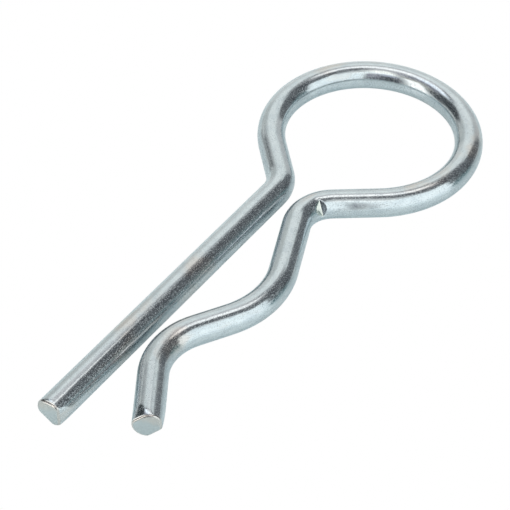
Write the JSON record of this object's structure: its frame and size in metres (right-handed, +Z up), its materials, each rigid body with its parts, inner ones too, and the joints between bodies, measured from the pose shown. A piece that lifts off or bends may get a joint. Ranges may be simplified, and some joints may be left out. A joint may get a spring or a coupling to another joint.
{
  "type": "hitch r clip pin",
  "caption": "R-shaped spring clip of round zinc-plated wire, with a round eye, a straight leg for a cross hole and a sprung leg that seats on the shaft.",
  "frame": {"origin": "on the axis of the straight leg, level with the middle of the shaft seat, in the middle plane of the wire", "axes": "+X along the straight leg to its free end, +Y across to the sprung leg, +Z up off the surface that the clip lies flat on"},
  "size_m": [0.1246, 0.0484, 0.006],
  "materials": {
    "zinc_plated_wire": "bright zinc plating with a faint blue tint over drawn spring wire, satin with fine grain"
  },
  "bodies": {
    "root": {"wire_clip": "zinc_plated_wire"}
  },
  "joints": []
}
